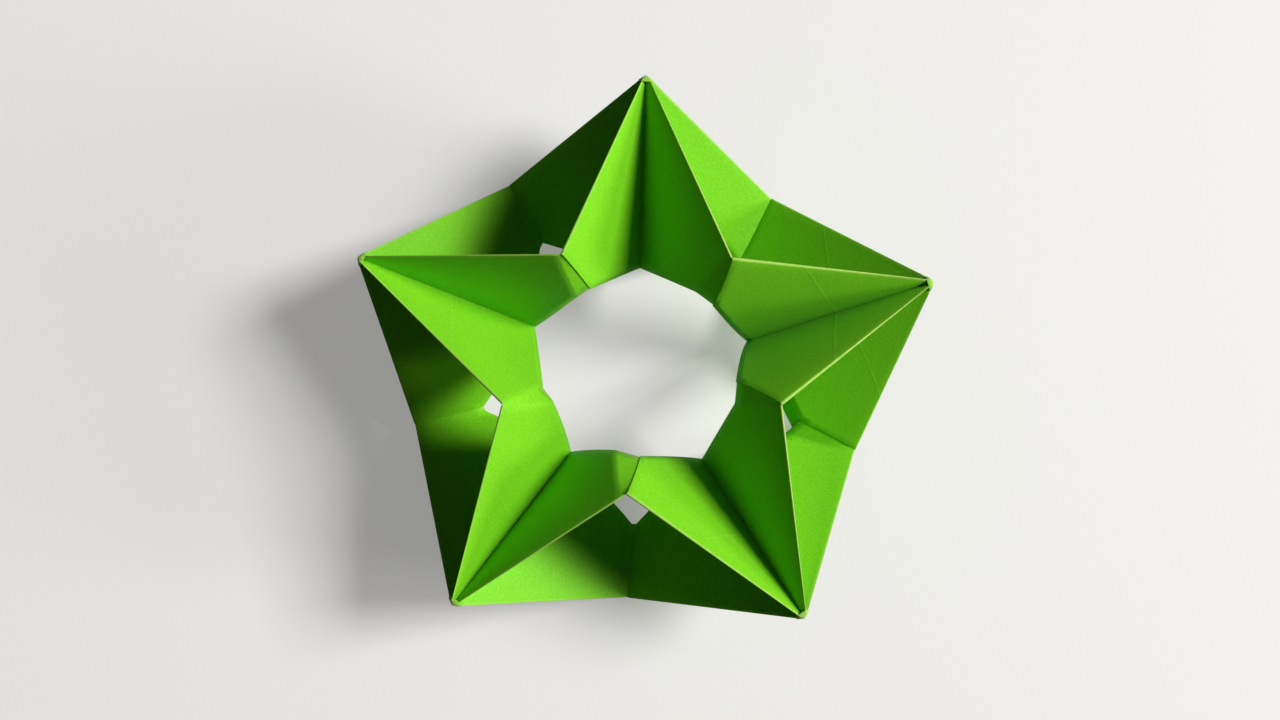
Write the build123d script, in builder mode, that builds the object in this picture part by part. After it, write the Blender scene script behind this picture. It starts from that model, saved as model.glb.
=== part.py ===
from build123d import *
from math import acos, atan2, cos, degrees, hypot, radians, sin, sqrt
from os import makedirs

# Modular origami star: five squares of coloured paper, each folded into one hollow point,
# joined tab in pocket into a ring with an open five-sided middle.
# Millimetres, +Z up. The star lies on z = 0 with the axis of the ring on Z.

# Paper
sheet_side = 105.0
paper = 0.10
corner_leg = 26.25  # side length that goes into the fold across each corner

# Ring
point_count = 5
ridge_rise = 14.6  # climb of the upper ridges away from the tip
ridge_swing = 22.3  # seen from above, between an upper ridge and its point's middle line
outer_bow = 1.0  # lower joints stand this far outside the line from tip to tip

# Joints
layer_gap = 0.05  # air between two layers that lie on each other
reveal = 1.2  # tab that shows between its own crease and the mouth of the pocket
tip_radius = 1.1  # the centre of the sheet, squeezed to a blunt end
tip_sides = 8
tip_slope = 0.5  # width of the sloping faces at both ends of it

# The two kinds of corner
POCKET = "pocket"
TAB = "tab"

# Name of each point, its direction from the middle, and its corners: clockwise, counterclockwise
points = [
    ("point_top", 90, TAB, POCKET),
    ("point_upper_right", 18, POCKET, POCKET),
    ("point_lower_right", -54, POCKET, TAB),
    ("point_lower_left", -126, TAB, TAB),
    ("point_upper_left", 162, TAB, POCKET),
]

# Lengths on the flat sheet
half_side = sheet_side / 2
half_right_angle = radians(45)
fold_half = corner_leg * sin(half_right_angle)
ridge_length = half_side / cos(half_right_angle) - fold_half

# Layers of a fin, as distances of their middle surfaces from the fin's middle
tab_level = paper / 2
flap_level = tab_level + paper + layer_gap
wall_level = flap_level + paper + layer_gap
hem_radius = (wall_level - flap_level + paper) / 2
hem_level = (wall_level + flap_level) / 2
mouth_reach = ridge_length - hem_radius
mouth_half = fold_half + hem_radius

# One point with its tip at the origin and the middle of the ring towards -X
half_sector = radians(180 / point_count)
joint_normal = Vector(-sin(half_sector), cos(half_sector), 0)
joint_reach = ridge_length + reveal / 2
rise = radians(ridge_rise)
swing = radians(ridge_swing)
upper_ridge = Vector(-cos(rise) * cos(swing), cos(rise) * sin(swing), sin(rise))
ring_radius = joint_reach * cos(rise) * sin(swing + half_sector) / sin(half_sector)
foot_radius = ring_radius * cos(half_sector) + outer_bow
foot_drop = sqrt(joint_reach**2 - (ring_radius * sin(half_sector)) ** 2 - outer_bow**2)
foot = Vector(foot_radius * cos(half_sector), foot_radius * sin(half_sector), -foot_drop)
lower_ridge = (foot - Vector(ring_radius, 0, 0)).normalized()


def middle_valley(ridge):
    """The crease in the point's middle plane, 45 degrees from a ridge, on its inner side."""
    slope = atan2(ridge.Z, -ridge.X)
    turn = acos(cos(half_right_angle) / hypot(ridge.X, ridge.Z))
    angle = slope - turn if ridge.Z > 0 else slope + turn
    return Vector(-cos(angle), 0, sin(angle))


def side_valley(ridge, other_ridge):
    """The crease that lies 45 degrees from both ridges of a side and runs in between the fins."""
    along = (ridge + other_ridge) * (cos(half_right_angle) / (1 + ridge.dot(other_ridge)))
    across = ridge.cross(other_ridge).normalized() * sqrt(1 - along.length**2)
    return min(along + across, along - across, key=lambda crease: crease.Y)


def mirrored(direction):
    """A direction of the left half, on the right half."""
    return Vector(direction.X, -direction.Y, direction.Z)


def sideways(ridge, valley):
    """The direction in a panel that leaves its ridge at a right angle."""
    return (valley - ridge * ridge.dot(valley)).normalized()


def outward(ridge, valley, other_valley):
    """Normal of the panel between a ridge and a valley, away from the fin's other panel."""
    normal = ridge.cross(valley).normalized()
    return normal if normal.dot(other_valley) < 0 else -normal


side_crease = side_valley(upper_ridge, lower_ridge)
bottom_crease = middle_valley(lower_ridge)
bottom_normal = outward(lower_ridge, bottom_crease, side_crease)
bottom_edge = sideways(lower_ridge, bottom_crease)
lowest_hem = lower_ridge * mouth_reach + bottom_edge * mouth_half + bottom_normal * hem_level
tip_height = hem_radius * sqrt(1 - bottom_edge.Z**2) - lowest_hem.Z


def outline(plane, corners):
    """A straight-sided face of paper on a plane."""
    with BuildSketch(plane) as face:
        with BuildLine():
            Polyline(*corners, close=True)
        make_face()
    return face.sketch


def fold_section(plane, inner, outer, angle):
    """The section through a rounded fold that turns by an angle about the plane's origin."""
    with BuildSketch(plane) as section:
        with BuildLine():
            outside = CenterArc((0, 0), outer, 0, angle)
            if inner > 0:
                inside = CenterArc((0, 0), inner, 0, angle)
                Line(outside @ 0, inside @ 0)
                Line(outside @ 1, inside @ 1)
            else:
                Polyline(outside @ 0, (0, 0), outside @ 1)
        make_face()
    return section.sketch


def hem_section(plane):
    """Half a disc: the paper turned back on itself round one layer of air."""
    with BuildSketch(plane) as section:
        with BuildLine():
            turn = CenterArc((0, 0), hem_radius, -90, 180)
            Line(turn @ 1, turn @ 0)
        make_face()
    return section.sketch


def add_rod(start, end, radius):
    """A rounded fold along a straight line."""
    with BuildSketch(Plane(origin=start, z_dir=end - start)) as section:
        Circle(radius)
    extrude(section.sketch, amount=(end - start).length)


class Fin:
    """The two panels that meet at one ridge, and the corner of the sheet that the ridge runs to."""

    def __init__(self, tip, ridge, valleys, across, corner):
        self.tip = tip
        self.ridge = ridge
        self.valleys = valleys
        self.across = across
        self.corner = corner
        self.level = wall_level if corner == POCKET else tab_level
        self.length = mouth_reach if corner == POCKET else ridge_length
        self.width = mouth_half if corner == POCKET else fold_half
        self.normals = [outward(ridge, valleys[0], valleys[1]), outward(ridge, valleys[1], valleys[0])]
        self.crest_axis = self.normals[0].cross(self.normals[1]).normalized()
        self.crest_turn = degrees(acos(self.normals[0].dot(self.normals[1])))

    def panel(self, index, level):
        """X along the ridge from the tip, Y into the panel, at a level from the fin's middle."""
        origin = self.tip + self.normals[index] * level
        return Plane(origin=origin, x_dir=self.ridge, z_dir=self.ridge.cross(self.valleys[index]))

    def neighbour(self):
        """The fin of the next point that this one meets, its mirror image in the joint's plane."""

        def over(vector):
            return vector - self.across * (2 * vector.dot(self.across))

        return Fin(over(self.tip), over(self.ridge), [over(valley) for valley in self.valleys], -self.across, TAB)

    def add_crest(self, inner_level, outer_level, start, end):
        """The rounded fold along the ridge, between two layers and two distances from the tip."""
        forward = 1 if self.crest_axis.dot(self.ridge) > 0 else -1
        origin = self.tip + self.ridge * start
        plane = Plane(origin=origin, x_dir=self.normals[0], z_dir=self.crest_axis)
        section = fold_section(plane, inner_level - paper / 2, outer_level + paper / 2, self.crest_turn)
        extrude(section, amount=forward * (end - start))


def valley_shift(level, other_level, normal, other_normal):
    """How far the real valley lies inside a panel, because both panels stand off their fins."""
    bend = -normal.dot(other_normal)
    return (other_level + level * bend) / sqrt(1 - bend**2)


def add_eighth(fin, index, shift):
    """An eighth of the sheet: from the tip along its ridge, the corner fold, the side and the valley."""
    plane = fin.panel(index, fin.level)
    start = Vector(shift / sin(half_right_angle), 0)
    end = Vector(half_side + shift, half_side - shift) * cos(half_right_angle)
    corners = [start, (fin.length, 0), (fin.length, fin.width), end]
    extrude(outline(plane, corners), amount=paper / 2, both=True)
    add_rod(plane.from_local_coords(start), plane.from_local_coords(end), paper / 2)


def add_pocket(fin):
    """The corner turned back inside the fin, so that the fold across it is the mouth of a pocket."""
    flap_corners = [(mouth_reach, 0), (mouth_reach, mouth_half), (mouth_reach - mouth_half, 0)]
    for index in (0, 1):
        extrude(outline(fin.panel(index, flap_level), flap_corners), amount=paper / 2, both=True)
        middle = fin.panel(index, hem_level)
        start = middle.from_local_coords(Vector(mouth_reach, 0))
        hem = hem_section(Plane(origin=start, x_dir=fin.ridge, z_dir=middle.y_dir))
        extrude(hem, amount=mouth_half)
    fin.add_crest(flap_level, flap_level, mouth_reach - mouth_half, mouth_reach)
    fin.add_crest(flap_level, wall_level, mouth_reach, (mouth_reach + ridge_length) / 2)


def add_tab(fin):
    """The corner left straight: creased, bent over the joint and pushed into the next point's pocket."""
    pocket = fin.neighbour()
    ridge_end = fin.tip + fin.ridge * ridge_length
    mouth = pocket.tip + pocket.ridge * ridge_length
    crossing = (mouth - ridge_end).length
    tab_length = fold_half - crossing
    for index in (0, 1):
        own = fin.panel(index, tab_level)
        inside = pocket.panel(index, tab_level)
        near = own.from_local_coords(Vector(ridge_length, 0))
        far = inside.from_local_coords(Vector(ridge_length, 0))
        spread = -own.y_dir.dot(fin.across)
        tab_half = tab_length / (1 + 2 * spread)
        near_end = own.from_local_coords(Vector(ridge_length, fold_half))
        far_end = inside.from_local_coords(Vector(ridge_length, tab_half))
        strip = Plane(origin=near, x_dir=far - near, z_dir=(far - near).cross(own.y_dir))
        corners = [strip.to_local_coords(corner) for corner in (near, near_end, far_end, far)]
        extrude(outline(strip, [(corner.X, corner.Y) for corner in corners]), amount=paper / 2, both=True)
        half = [(ridge_length, 0), (ridge_length, tab_half), (ridge_length - tab_length, 0)]
        extrude(outline(inside, half), amount=paper / 2, both=True)
    add_rod(ridge_end, mouth, paper)
    pocket.add_crest(tab_level, tab_level, ridge_length - tab_length, ridge_length)


def folded_point(arm_angle, clockwise_corner, counter_corner):
    """One square sheet, folded to four fins round a blunt tip, with four corners to join it by."""

    def turned(direction):
        return direction.rotate(Axis.Z, arm_angle)

    tip = turned(Vector(ring_radius, 0, tip_height))
    top_crease = middle_valley(upper_ridge)
    right_crease = mirrored(side_crease)
    layout = [
        (upper_ridge, [top_crease, side_crease], joint_normal, counter_corner),
        (lower_ridge, [side_crease, bottom_crease], joint_normal, counter_corner),
        (mirrored(lower_ridge), [bottom_crease, right_crease], mirrored(joint_normal), clockwise_corner),
        (mirrored(upper_ridge), [right_crease, top_crease], mirrored(joint_normal), clockwise_corner),
    ]
    fins = [
        Fin(tip, turned(ridge), [turned(valley) for valley in valleys], turned(across), corner)
        for ridge, valleys, across, corner in layout
    ]
    with BuildPart() as sheet:
        outer_way = turned(Vector(1, 0, 0))
        with BuildSketch(Plane(origin=tip, z_dir=outer_way)) as blunt_end:
            RegularPolygon(tip_radius, tip_sides)
        extrude(blunt_end.sketch, amount=tip_radius, both=True)
        ends = sheet.faces().filter_by(Axis(tip, outer_way))
        chamfer(ends.edges(), length=tip_slope)
        for number, fin in enumerate(fins):
            before = fins[number - 1]
            after = fins[(number + 1) % len(fins)]
            add_eighth(fin, 0, valley_shift(fin.level, before.level, fin.normals[0], before.normals[1]))
            add_eighth(fin, 1, valley_shift(fin.level, after.level, fin.normals[1], after.normals[0]))
            fin.add_crest(fin.level, fin.level, 0, fin.length)
            if fin.corner == POCKET:
                add_pocket(fin)
            else:
                add_tab(fin)
    return sheet


makedirs("parts", exist_ok=True)
for name, angle, clockwise_corner, counter_corner in points:
    point = folded_point(angle, clockwise_corner, counter_corner)
    point.part.label = name
    export_step(point.part, f"parts/{name}.step")
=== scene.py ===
from math import acos, atan2, cos, hypot, pi, radians, sin, sqrt

import bmesh
import bpy
from mathutils import Euler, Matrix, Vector


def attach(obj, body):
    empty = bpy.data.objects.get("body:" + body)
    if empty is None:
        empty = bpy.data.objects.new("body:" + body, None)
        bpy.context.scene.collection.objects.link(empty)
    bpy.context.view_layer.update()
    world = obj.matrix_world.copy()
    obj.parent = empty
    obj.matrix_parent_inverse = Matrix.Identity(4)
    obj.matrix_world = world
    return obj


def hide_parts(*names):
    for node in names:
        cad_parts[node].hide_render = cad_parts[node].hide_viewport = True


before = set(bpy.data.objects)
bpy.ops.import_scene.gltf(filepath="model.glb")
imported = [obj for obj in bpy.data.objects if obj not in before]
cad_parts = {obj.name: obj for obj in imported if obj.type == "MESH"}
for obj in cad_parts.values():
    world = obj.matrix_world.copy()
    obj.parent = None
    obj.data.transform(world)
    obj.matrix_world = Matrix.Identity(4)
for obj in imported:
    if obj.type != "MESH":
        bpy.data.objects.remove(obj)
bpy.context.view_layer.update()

# Camera
# It hangs 38 cm above the table and looks almost straight down on the star, a little from below its
# middle in the picture, with the field of view of a small hand-held camera.
mm = 0.001
picture_width = 1280
picture_height = 720
camera_data = bpy.data.cameras.new("camera")
camera_data.sensor_width = 36
camera_data.lens = 36.56
camera = bpy.data.objects.new("camera", camera_data)
camera.location = Vector((-6.3, -16.3, 378.7)) * mm
camera.rotation_euler = Euler((radians(2.89), radians(-1.18), radians(2.44)))
bpy.context.scene.collection.objects.link(camera)
bpy.context.scene.camera = camera


def sight(pixel):
    """The direction in which the camera sees a pixel of its picture."""
    focal = camera_data.lens / camera_data.sensor_width * picture_width
    across = pixel[0] - picture_width / 2
    upward = picture_height / 2 - pixel[1]
    return (camera.rotation_euler.to_matrix() @ Vector((across, upward, -focal))).normalized()


def seen_at(pixel, height):
    """The point at a height above the table that the camera shows at a pixel."""
    ray = sight(pixel)
    return camera.location + ray * ((height - camera.location.z) / ray.z)


# Folded points
# Five squares of lime-green paper, 105 mm wide and 0.1 mm thick. Each is creased into four nearly closed
# fins that run out from a blunt tip. Two fins rise to the middle of the ring and two go down to the table.
# A corner is turned back inside its fin to make a pocket, or left straight as a tab for the next pocket.
paper = 0.10 * mm
sheet_side = 105 * mm
half_side = sheet_side / 2
half_diagonal = half_side * sqrt(2)
panel_angle = radians(45)  # between a ridge and the valley creases beside it

# Each tip and each end of a joint's ridges: its pixel in the picture and its height above the table.
# Joints are counted clockwise, from the one between point_top and point_upper_right.
tips = {
    "point_top": ((646, 77), 36.8 * mm),
    "point_upper_right": ((932, 282), 34.1 * mm),
    "point_lower_right": ((804, 617), 37.7 * mm),
    "point_lower_left": ((453, 604), 34.9 * mm),
    "point_upper_left": ((359, 258), 36.5 * mm),
}
upper_ends = [
    ((732, 259), 48.7 * mm),
    ((781, 404), 49.2 * mm),
    ((627, 493), 49.5 * mm),
    ((503, 403), 49.4 * mm),
    ((562, 255), 51.3 * mm),
]
lower_ends = [
    ((771, 200), 4.3 * mm),
    ((854, 449), 5.5 * mm),
    ((628, 596), 5.2 * mm),
    ((416, 423), 5.0 * mm),
    ((511, 186), 4.3 * mm),
]

# The same for the ends of each joint's mouth and of its tab's crease: the upper joint's ends at the open
# middle, then the lower joint's at the window in the side.
inner_mouths = [
    ((713, 306), 34.2 * mm),
    ((736, 381), 34.0 * mm),
    ((641, 456), 34.1 * mm),
    ((543, 386), 33.7 * mm),
    ((591, 289), 34.7 * mm),
]
inner_creases = [
    ((696, 292), 34.9 * mm),
    ((735, 403), 35.1 * mm),
    ((615, 450), 33.2 * mm),
    ((553, 401), 33.1 * mm),
    ((577, 297), 34.0 * mm),
]
outer_mouths = [
    ((737, 267), 2.6 * mm),
    ((800, 420), 5.6 * mm),
    ((637, 523), 3.5 * mm),
    ((484, 406), 3.9 * mm),
    ((543, 243), 3.5 * mm),
]
outer_creases = [
    ((724, 251), 3.7 * mm),
    ((784, 434), 2.2 * mm),
    ((632, 524), 3.4 * mm),
    ((486, 411), 3.4 * mm),
    ((540, 249), 3.5 * mm),
]

# The same for the lowest point of each sheet's edge at the open middle
inner_valleys = [
    ((640, 268), 14.7 * mm),
    ((747, 341), 12.3 * mm),
    ((702, 459), 14.1 * mm),
    ((571, 452), 12.8 * mm),
    ((535, 327), 14.0 * mm),
]

# Whose pocket each joint has, and how much of the tab shows between its crease and that pocket's mouth
pocket_owners = [
    "point_upper_right",
    "point_upper_right",
    "point_lower_right",
    "point_upper_left",
    "point_top",
]
upper_reveals = [0.5 * mm, 0.4 * mm, 1.8 * mm, 1.2 * mm, 1.0 * mm]
lower_reveal = 0.6 * mm

# The point whose lower fins are pressed onto the table, and the end of one that shows through the window
foot_level = 0.25 * mm
pressed_point = "point_upper_right"
pressed_end = ((791, 427), foot_level)

# How pale the line along each of the four ridges of a point is drawn, partly from real rubbing and partly
# as a painted highlight where the round crest catches the lamp: upper, lower, lower, upper
ridge_wear_and_highlight = {
    "point_top": (0.5, 0.5, 0.9, 1.4),
    "point_upper_right": (1.0, 0.7, 0.6, 1.0),
    "point_lower_right": (1.3, 0.9, 0.5, 0.8),
    "point_lower_left": (0.8, 0.5, 0.4, 0.4),
    "point_upper_left": (0.7, 0.4, 0.5, 0.7),
}

pocket_crest = 0.42 * mm  # radius of a pocket fin's ridge at its mouth
tab_crest = 0.25 * mm  # the same for a tab fin, at its crease
tab_inside = 0.08 * mm  # the same for the tab inside the pocket
tab_share = 0.99  # of the pocket's width, that the tab takes
layer_step = 0.24 * mm  # from a panel to the corner that is turned back inside it
valley_round = 0.8 * mm  # width of a soft valley crease at the sheet's side
tip_spread = 1.5 * mm  # how far the gathered paper pushes the ridges apart at the tip


class Fin:
    """The two panels that meet at one ridge. Side 0 faces the fin before it, side 1 the fin after."""

    def __init__(self, tip, joint, reveal, pocket, quarter, wear_and_highlight):
        self.tip = tip
        self.inward = Vector((-tip.x, -tip.y, 0)).normalized()
        self.ridge = (joint - tip).normalized()
        self.length = (joint - tip).length - (0 if pocket else reveal)
        self.fold = half_diagonal - self.length
        self.pocket = pocket
        self.quarter = quarter
        self.wear_and_highlight = wear_and_highlight
        self.crest = pocket_crest if pocket else tab_crest
        self.open_way = [None, None]
        self.steep = [0, 0]
        self.end_pull = [Vector(), Vector()]
        self.valley_pull = [Vector(), Vector()]
        self.neighbour = None

    def set_valleys(self, valleys):
        """Lay both panels between the ridge and the valley creases beside it."""
        self.across = [(valley - self.ridge * self.ridge.dot(valley)).normalized() for valley in valleys]
        self.top = -(self.across[0] + self.across[1]).normalized()
        self.sides = [(way - self.top * self.top.dot(way)).normalized() for way in self.across]
        self.half_turn = pi / 2 - acos(min(1, self.across[0].dot(self.across[1]))) / 2
        self.normals = [self.top * cos(self.half_turn) + side * sin(self.half_turn) for side in self.sides]

    def bend(self, side, x, y):
        """How far a bent panel stands off the flat one, growing evenly along each line from the tip."""
        turn = atan2(y, x)
        to_end = atan2(self.fold, self.length)
        reach = self.length / cos(turn) if turn < to_end else half_diagonal / (cos(turn) + sin(turn))
        end_share = turn * (panel_angle - turn) / (to_end * (panel_angle - to_end))
        valley_share = turn * (turn - to_end) / (panel_angle * (panel_angle - to_end))
        pull = self.end_pull[side] * end_share + self.valley_pull[side] * valley_share
        return pull * (hypot(x, y) / reach)

    def on_cone(self, side, x, y, inset):
        """A point of a sheet that is gathered to a sharp tip, measured as in at()."""
        crest = self.crest * x / self.length
        arc = crest * self.half_turn
        along = self.tip + self.ridge * x + self.bend(side, x, y)
        if y <= arc:
            angle = y / crest
            return along + (self.top * cos(angle) + self.sides[side] * sin(angle)) * (crest - inset)
        keep = (1 - min(1, (y - arc) / (x - arc))) ** 2
        point = along + self.normals[side] * (crest * keep - inset) + self.across[side] * (y - arc * keep)
        valley_distance = (x - y) / sqrt(2)
        width = valley_round * x / half_side
        if valley_distance < width:
            lift = width / 2 * self.steep[side] * (1 - valley_distance / width) ** 2
            point = point + self.open_way[side] * lift
        return point

    def at(self, side, x, y, inset=0):
        """A point of the paper: x along the ridge from the tip, y down one side, inset into the fin."""
        point = self.on_cone(side, x, y, inset)
        off = point - self.tip
        sideways = off - self.inward * self.inward.dot(off)
        return point + sideways * (tip_spread * max(0, 1 - x / self.length) / off.length)

    def on_flat_sheet(self, side, x, y):
        """Where a point of the paper lies on the flat square, from its centre."""
        angle = self.quarter * pi / 2 + (1 if side else -1) * atan2(y, x)
        return Vector((cos(angle), sin(angle), 0)) * sqrt(x * x + y * y)


def valley_between(ridge, other_ridge, inward):
    """The crease that leaves both ridges at the panel angle, on the side of the point's middle line."""
    along = (ridge + other_ridge) * (cos(panel_angle) / (1 + ridge.dot(other_ridge)))
    across = ridge.cross(other_ridge).normalized() * sqrt(1 - along.length_squared)
    return max(along + across, along - across, key=inward.dot)


names = list(tips)


def fins_of(name):
    """The four fins of one point, going round its tip: upper and lower, then lower and upper."""
    after = names.index(name)
    before = after - 1
    tip = seen_at(*tips[name])
    corners = ((before, upper_ends), (before, lower_ends), (after, lower_ends), (after, upper_ends))
    fins = []
    for quarter, (joint, ends) in enumerate(corners):
        reveal = upper_reveals[joint] if ends is upper_ends else lower_reveal
        pocket = pocket_owners[joint] == name
        # Strength of the pale ridge line: partly rubbing, partly a painted highlight on ridges that catch
        # the lamp
        wear_and_highlight = ridge_wear_and_highlight[name][quarter] * mm
        fins.append(Fin(tip, seen_at(*ends[joint]), reveal, pocket, quarter, wear_and_highlight))
    next_fins = fins[1:] + fins[:1]
    valleys = [valley_between(fin.ridge, other.ridge, fin.inward) for fin, other in zip(fins, next_fins)]
    for number, fin in enumerate(fins):
        fin.set_valleys([valleys[number - 1], valleys[number]])
    for fin, other, valley in zip(fins, next_fins, valleys):
        ways = [(one.ridge - valley * valley.dot(one.ridge)).normalized() for one in (fin, other)]
        middle = (ways[0] + ways[1]).normalized()
        fin.open_way[1] = middle
        other.open_way[0] = middle
        fin.steep[1] = middle.dot(ways[0])
        other.steep[0] = middle.dot(ways[1])
    return fins


def pull_end(fin, side, pixel, height):
    """Bend a panel so that the end of its mouth or crease is seen at a pixel."""
    fin.end_pull[side] = seen_at(pixel, height) - fin.at(side, fin.length, fin.fold)


def pull_valley(fin, side, pixel, height):
    """Bend a panel so that the end of its valley crease is seen at a pixel."""
    plain = fin.tip + (fin.ridge + fin.across[side]) * (half_side / sqrt(2))
    fin.valley_pull[side] = seen_at(pixel, height) - plain


def rest_end(fin, side, pressed):
    """Bend a panel so that the end of its mouth or crease isn't below the table, or is pressed onto it."""
    plain = fin.at(side, fin.length, fin.fold)
    rise = foot_level - plain.z
    fin.end_pull[side] = Vector((0, 0, rise if pressed else max(0, rise)))


points = {name: fins_of(name) for name in names}
for number, name in enumerate(names):
    fins = points[name]
    before = points[names[number - 1]]
    after = points[names[(number + 1) % len(names)]]
    for fin, neighbour in zip(fins, (before[3], before[2], after[1], after[0])):
        fin.neighbour = neighbour
    for joint, upper, lower, side in ((number - 1, fins[0], fins[1], 0), (number, fins[3], fins[2], 1)):
        owner = pocket_owners[joint] == name
        pull_end(upper, side, *(inner_mouths if owner else inner_creases)[joint])
        pull_end(lower, side, *(outer_mouths if owner else outer_creases)[joint])
        pull_valley(upper, side, *inner_valleys[number])
        rest_end(lower, 1 - side, name == pressed_point)
pull_end(points[pressed_point][2], 0, *pressed_end)

# Parts of the net of quads: columns from the ridge to the valley, then rows along and round each layer
ridge_parts = 4
mouth_parts = 6
side_parts = 8
valley_parts = 4
panel_rows = 29
hem_rows = 4
flap_rows = 10
tab_rows = 8
strip_steps = (0, 0.15, 0.85, 1)
tip_start = 0.012  # the net begins at this part of a panel's length
weld_distance = 0.001 * mm


def panel_place(fin, side, slope, part):
    """A panel, from the tip to the mouth or crease and to the sheet's side."""
    reach = min(fin.length, half_diagonal / (1 + slope))
    x = reach * (tip_start + (1 - tip_start) * part)
    y = x * slope
    return fin.at(side, x, y), x, y


def hem_place(fin, side, slope, part):
    """The rounded fold of a pocket's mouth, from the panel to the layer inside it."""
    y = slope * fin.length
    turn = pi * part
    outer = fin.at(side, fin.length, y)
    inner = fin.at(side, fin.length, y, layer_step)
    middle = (outer + inner) / 2
    point = middle + (outer - middle) * cos(turn) + fin.ridge * (layer_step / 2 * sin(turn))
    return point, fin.length, y


def flap_place(fin, side, slope, part):
    """The corner turned back inside its fin, from the mouth to the corner's point."""
    y = slope * fin.length
    back = (fin.fold - y) * part
    return fin.at(side, fin.length - back, y, layer_step), fin.length + back, y


def tab_width(fin):
    """The tab's width beyond its pocket's mouth, as a share of the width at its own crease."""
    return tab_share * fin.neighbour.fold / fin.fold


def tab_crossing(fin, side):
    """The distance along the ridge from a tab's crease to the mouth of its pocket."""
    pocket = fin.neighbour
    return (pocket.at(1 - side, pocket.length, 0) - fin.at(side, fin.length, 0)).length


def strip_place(fin, side, slope, part):
    """The strip of a tab that shows, from its own crease to the mouth of the next point's pocket."""
    y = slope * fin.length
    pocket = fin.neighbour
    near = fin.at(side, fin.length, y)
    far = pocket.at(1 - side, pocket.length, y * tab_width(fin), pocket.crest - tab_inside)
    return near.lerp(far, part), fin.length + tab_crossing(fin, side) * part, y


def tab_place(fin, side, slope, part):
    """The rest of the tab inside the pocket, from the mouth to the corner's point."""
    y = slope * fin.length
    pocket = fin.neighbour
    width = tab_width(fin)
    back = (fin.fold - y) * width * part
    point = pocket.at(1 - side, pocket.length - back, y * width, pocket.crest - tab_inside)
    return point, fin.length + tab_crossing(fin, side) + back, y


def paper_mesh():
    """An empty mesh whose points keep their place on the flat sheet, and along and off their ridge."""
    mesh = bmesh.new()
    mesh.verts.layers.float_vector.new("flat")
    mesh.verts.layers.float_vector.new("fold")
    return mesh


def add_net(mesh, fin, side, place, columns, rows):
    """A net of quads over one layer of paper, on one side of a fin."""
    flat = mesh.verts.layers.float_vector["flat"]
    fold = mesh.verts.layers.float_vector["fold"]
    net = []
    for part in rows:
        line = []
        for slope in columns:
            point, x, y = place(fin, side, slope, part)
            vert = mesh.verts.new(point)
            vert[flat] = fin.on_flat_sheet(side, x, y)
            vert[fold] = Vector((x, y, fin.wear_and_highlight))
            line.append(vert)
        net.append(line)
    for line, next_line in zip(net, net[1:]):
        for column in range(len(columns) - 1):
            mesh.faces.new([line[column], line[column + 1], next_line[column + 1], next_line[column]])


def parts_of(count):
    """Even steps from nothing to one."""
    return [step / count for step in range(count + 1)]


def slopes_of(fin):
    """The net's columns, as the slopes from the ridge at which they leave the tip."""
    arc = fin.crest * fin.half_turn / fin.length
    corner = fin.fold / fin.length
    edge = 1 - valley_round / half_side * sqrt(2)
    slopes = [arc * part / ridge_parts for part in range(ridge_parts + 1)]
    stretches = ((arc, corner, mouth_parts), (corner, edge, side_parts), (edge, 1, valley_parts))
    for start, end, parts in stretches:
        slopes += [start + (end - start) * part / parts for part in range(1, parts + 1)]
    return slopes


def sheet_mesh(name):
    """The middle surface of one folded sheet: its panels, and each corner as a pocket or a tab."""
    mesh = paper_mesh()
    for fin in points[name]:
        slopes = slopes_of(fin)
        mouth = slopes[:ridge_parts + mouth_parts + 1]
        nets = [(panel_place, slopes, parts_of(panel_rows))]
        if fin.pocket:
            nets += [(hem_place, mouth, parts_of(hem_rows)), (flap_place, mouth, parts_of(flap_rows))]
        else:
            nets += [(strip_place, mouth, strip_steps), (tab_place, mouth, parts_of(tab_rows))]
        for side in (0, 1):
            for place, columns, rows in nets:
                add_net(mesh, fin, side, place, columns, rows)
    bmesh.ops.remove_doubles(mesh, verts=mesh.verts, dist=weld_distance)
    bmesh.ops.recalc_face_normals(mesh, faces=mesh.faces)
    return mesh


# Beads that the gathered tip is laid round: distance from the sharp tip and radius, first the one on the
# point's middle line, then those on each of the four ridges
middle_bead = (0.25 * mm, 0.65 * mm)
ridge_beads = ((0.8 * mm, 0.24 * mm), (1.5 * mm, 0.07 * mm))
bead_fineness = 3
tip_wear = 0.7


def tip_mesh(name):
    """The gathered centre of the sheet: a rounded hull round the first stretch of the four ridges."""
    mesh = paper_mesh()
    fins = points[name]
    reach, radius = middle_bead
    beads = [(fins[0].tip + fins[0].inward * reach, radius)]
    for reach, radius in ridge_beads:
        beads += [(fin.at(0, reach, 0), radius) for fin in fins]
    for centre, radius in beads:
        made = bmesh.ops.create_icosphere(mesh, subdivisions=bead_fineness, radius=radius)
        bmesh.ops.translate(mesh, verts=made["verts"], vec=centre)
    hull = bmesh.ops.convex_hull(mesh, input=mesh.verts)
    inside = hull["geom_interior"] + hull["geom_unused"]
    spare = [item for item in inside if isinstance(item, bmesh.types.BMVert)]
    bmesh.ops.delete(mesh, geom=spare, context="VERTS")
    flat = mesh.verts.layers.float_vector["flat"]
    fold = mesh.verts.layers.float_vector["fold"]
    for vert in mesh.verts:
        vert[flat] = vert.co
        vert[fold] = Vector((0, 0, tip_wear * mm))
    return mesh


# Colours of the paper, from its darker patches to the pale line along a ridge, which is partly rubbed
# paper and partly a painted highlight
dark_lime = (0.18, 0.68, 0.004)
light_lime = (0.25, 0.80, 0.008)
fibre_lime = (0.33, 0.90, 0.03)
crease_lime = (0.40, 0.82, 0.10)
rubbed_and_highlit_lime = (0.68, 0.88, 0.22)
lime_through = (0.04, 0.62, 0.002)

# Widths of the pale ridge line (rubbed paper and painted highlight), the cut edge and the crease across
# each corner, and the depth of the fibres
wear_and_highlight_width = 0.7 * mm
rim_width = 0.25 * mm
crease_width = 0.3 * mm
crease_hollow = 0.45 * mm
fibre_depth = 0.05 * mm


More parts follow.
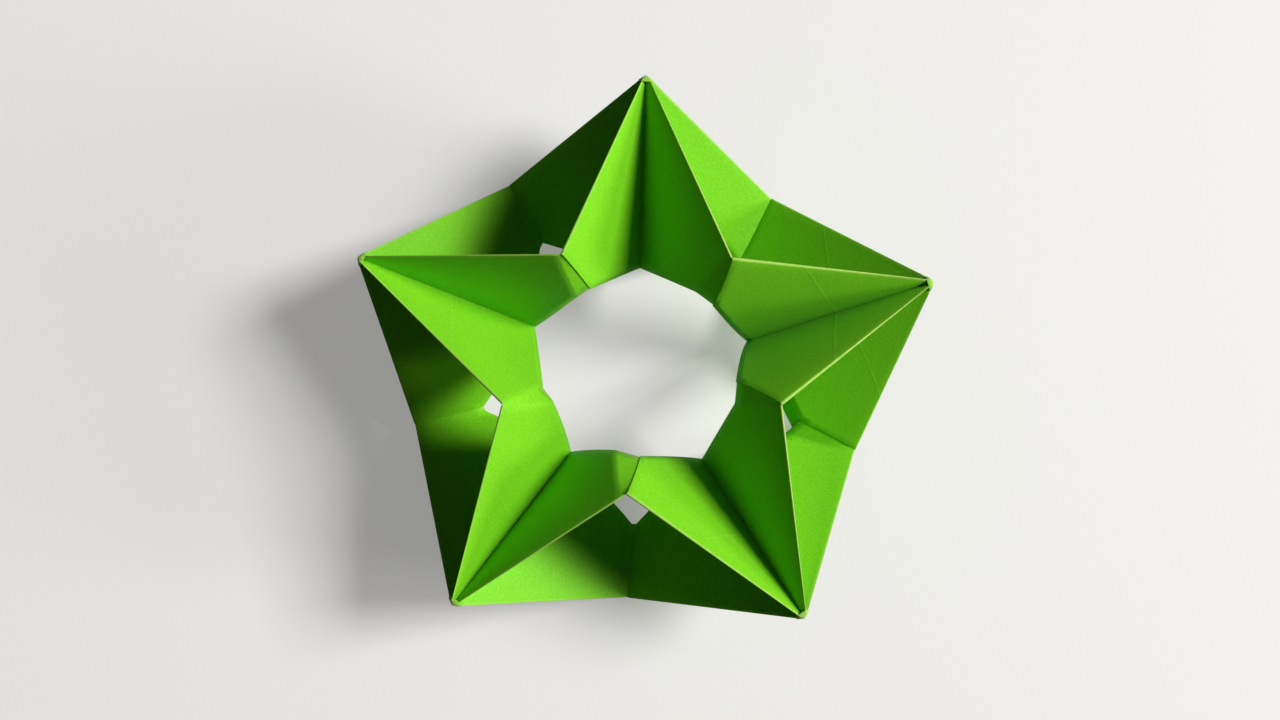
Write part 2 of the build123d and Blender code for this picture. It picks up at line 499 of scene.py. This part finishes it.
def folded_paper():
    """Lime-green craft paper: fibre grain, slight mottling, pale wear along creases and edges, and a pale
    ridge line that is partly wear and partly painted highlight.
    """
    material = bpy.data.materials.new("lime_paper")
    material.use_nodes = True
    nodes = material.node_tree.nodes
    links = material.node_tree.links
    nodes.clear()

    def node(kind, **settings):
        made = nodes.new(kind)
        for key, value in settings.items():
            setattr(made, key, value)
        return made

    def work_out(operation, first, second=None, third=None):
        """A sum of numbers and of other nodes' results."""
        made = node("ShaderNodeMath", operation=operation)
        for socket, value in zip(made.inputs, (first, second, third)):
            if value is None:
                continue
            if isinstance(value, (int, float)):
                socket.default_value = value
            else:
                links.new(value, socket)
        return made.outputs[0]

    def band(distance, width):
        """One on a line, falling to nothing at a width from it."""
        made = node("ShaderNodeMapRange", interpolation_type="SMOOTHSTEP")
        links.new(distance, made.inputs["Value"])
        made.inputs["From Min"].default_value = 0
        made.inputs["From Max"].default_value = width
        made.inputs["To Min"].default_value = 1
        made.inputs["To Max"].default_value = 0
        return made.outputs["Result"]

    def grain(scale, detail, roughness=0.5):
        """Unevenness that lies fixed on the flat sheet."""
        made = node("ShaderNodeTexNoise")
        made.inputs["Scale"].default_value = scale
        made.inputs["Detail"].default_value = detail
        made.inputs["Roughness"].default_value = roughness
        links.new(flat.outputs["Vector"], made.inputs["Vector"])
        return made.outputs["Fac"]

    def mix(amount, first, second):
        """One colour turning into another as the amount goes from nothing to one."""
        made = node("ShaderNodeMix", data_type="RGBA")
        links.new(amount, made.inputs["Factor"])
        for socket, value in ((made.inputs["A"], first), (made.inputs["B"], second)):
            if isinstance(value, tuple):
                socket.default_value = (*value, 1)
            else:
                links.new(value, socket)
        return made.outputs["Result"]

    flat = node("ShaderNodeAttribute", attribute_name="flat")
    fold = node("ShaderNodeAttribute", attribute_name="fold")
    place = node("ShaderNodeSeparateXYZ")
    links.new(fold.outputs["Vector"], place.inputs[0])
    x = place.outputs["X"]
    y = place.outputs["Y"]
    wear_and_highlight = work_out("MULTIPLY", place.outputs["Z"], 1 / mm)
    outward = work_out("ADD", x, y)
    to_edge = work_out("SUBTRACT", half_diagonal, outward)
    past_crease = work_out("SUBTRACT", outward, half_side / sqrt(2))
    to_crease = work_out("ABSOLUTE", work_out("MULTIPLY", past_crease, cos(panel_angle)))

    fibres = grain(1500, 5, 0.75)
    blotches = grain(70, 3)
    patches = grain(420, 4)
    patchy = work_out("MULTIPLY_ADD", patches, 1.2, 0.1)
    # Pale line along the ridge: partly rubbed paper, partly a painted highlight where the crest catches
    # the lamp
    wear_and_highlight_mask = work_out("MULTIPLY", work_out("MULTIPLY", band(y, wear_and_highlight_width), wear_and_highlight), patchy)
    rim = work_out("MULTIPLY", band(to_edge, rim_width), 0.5)
    pale_mark_and_highlight = work_out("MINIMUM", work_out("ADD", wear_and_highlight_mask, rim), 1)
    mottling = work_out("MULTIPLY_ADD", patches, 0.8, work_out("MULTIPLY_ADD", blotches, 1.0, -0.4))
    lime = mix(mottling, dark_lime, light_lime)
    lime = mix(work_out("MULTIPLY_ADD", fibres, 3.2, -1.25), lime, fibre_lime)
    lime = mix(work_out("MULTIPLY", band(to_crease, crease_width), 0.22), lime, crease_lime)
    lime = mix(pale_mark_and_highlight, lime, rubbed_and_highlit_lime)

    bump = node("ShaderNodeBump")
    bump.inputs["Strength"].default_value = 0.6
    bump.inputs["Distance"].default_value = fibre_depth
    creases = work_out("MULTIPLY", band(to_crease, crease_hollow), 0.8)
    rough = work_out("ADD", work_out("MULTIPLY", fibres, 0.8), work_out("MULTIPLY", patches, 0.9))
    links.new(work_out("ADD", rough, creases), bump.inputs["Height"])

    surface = node("ShaderNodeBsdfPrincipled")
    links.new(lime, surface.inputs["Base Color"])
    links.new(bump.outputs["Normal"], surface.inputs["Normal"])
    surface.inputs["Roughness"].default_value = 0.6
    surface.inputs["Specular IOR Level"].default_value = 0.25
    surface.inputs["Sheen Weight"].default_value = 0.03
    through = node("ShaderNodeBsdfTranslucent")
    through.inputs["Color"].default_value = (*lime_through, 1)
    blend = node("ShaderNodeMixShader")
    blend.inputs["Fac"].default_value = 0.25
    links.new(surface.outputs[0], blend.inputs[1])
    links.new(through.outputs[0], blend.inputs[2])
    output = node("ShaderNodeOutputMaterial")
    links.new(blend.outputs[0], output.inputs["Surface"])
    return material


lime_paper = folded_paper()
for name in names:
    for kind, mesh in (("sheet", sheet_mesh(name)), ("tip", tip_mesh(name))):
        data = bpy.data.meshes.new(f"{name}_{kind}")
        mesh.to_mesh(data)
        mesh.free()
        data.materials.append(lime_paper)
        data.shade_smooth()
        piece = bpy.data.objects.new(f"{name}_{kind}", data)
        bpy.context.scene.collection.objects.link(piece)
        if kind == "sheet":
            thickness = piece.modifiers.new("thickness", "SOLIDIFY")
            thickness.thickness = paper
            thickness.offset = 0
        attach(piece, "root")
        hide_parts(name)

# Table
# A plain pale table top under the star. It is pale to the eye, in a mirror and through clear material, and
# dark otherwise, so that it throws little light up into the folds.
table_reach = 3.0
table_corners = [(x * table_reach, y * table_reach, 0) for x, y in ((-1, -1), (1, -1), (1, 1), (-1, 1))]
table_data = bpy.data.meshes.new("table")
table_data.from_pydata(table_corners, [], [(0, 1, 2, 3)])
table = bpy.data.objects.new("table", table_data)
bpy.context.scene.collection.objects.link(table)
table_paint = bpy.data.materials.new("table_paint")
table_paint.use_nodes = True
table_nodes = table_paint.node_tree.nodes
table_links = table_paint.node_tree.links
pale = table_nodes["Principled BSDF"]
pale.inputs["Base Color"].default_value = (0.66, 0.65, 0.63, 1)
pale.inputs["Roughness"].default_value = 0.7
pale.inputs["Emission Color"].default_value = (1, 0.985, 0.96, 1)
pale.inputs["Emission Strength"].default_value = 0.29
dim = table_nodes.new("ShaderNodeBsdfDiffuse")
dim.inputs["Color"].default_value = (0.06, 0.06, 0.06, 1)
table_ray = table_nodes.new("ShaderNodeLightPath")
looks = table_ray.outputs["Is Camera Ray"]
for kind in ("Is Glossy Ray", "Is Transmission Ray"):
    either = table_nodes.new("ShaderNodeMath")
    either.operation = "MAXIMUM"
    table_links.new(looks, either.inputs[0])
    table_links.new(table_ray.outputs[kind], either.inputs[1])
    looks = either.outputs[0]
by_table_ray = table_nodes.new("ShaderNodeMixShader")
table_links.new(looks, by_table_ray.inputs["Fac"])
table_links.new(dim.outputs[0], by_table_ray.inputs[1])
table_links.new(pale.outputs[0], by_table_ray.inputs[2])
table_links.new(by_table_ray.outputs[0], table_nodes["Material Output"].inputs["Surface"])
table_data.materials.append(table_paint)

# Light
# Two large soft lamps stand at the right of the star. The stronger one is the higher and stands towards
# the top of the picture. The walls give almost no light and are seen pale.
star_middle = Vector((0, 0, 36 * mm))


def add_lamp(name, place, size, power):
    """A square soft lamp aimed at the middle of the star."""
    lamp_data = bpy.data.lights.new(name, "AREA")
    lamp_data.size = size
    lamp_data.energy = power
    lamp = bpy.data.objects.new(name, lamp_data)
    lamp.location = place
    lamp.rotation_euler = (star_middle - Vector(place)).to_track_quat("-Z", "Y").to_euler()
    bpy.context.scene.collection.objects.link(lamp)


add_lamp("key_lamp", (2.93, 0.90, 2.57), 1.28, 168)
add_lamp("side_lamp", (3.86, -0.34, 1.04), 1.12, 68)
world = bpy.data.worlds.new("studio")
world.use_nodes = True
world_nodes = world.node_tree.nodes
world_links = world.node_tree.links
weak_sky = world_nodes["Background"]
weak_sky.inputs["Color"].default_value = (1, 1, 1, 1)
weak_sky.inputs["Strength"].default_value = 0.03
pale_wall = world_nodes.new("ShaderNodeBackground")
pale_wall.inputs["Color"].default_value = (0.78, 0.77, 0.75, 1)
pale_wall.inputs["Strength"].default_value = 1
world_ray = world_nodes.new("ShaderNodeLightPath")
by_world_ray = world_nodes.new("ShaderNodeMixShader")
world_links.new(world_ray.outputs["Is Camera Ray"], by_world_ray.inputs["Fac"])
world_links.new(weak_sky.outputs[0], by_world_ray.inputs[1])
world_links.new(pale_wall.outputs[0], by_world_ray.inputs[2])
world_links.new(by_world_ray.outputs[0], world_nodes["World Output"].inputs["Surface"])
bpy.context.scene.world = world
bpy.context.scene.view_settings.view_transform = "Standard"
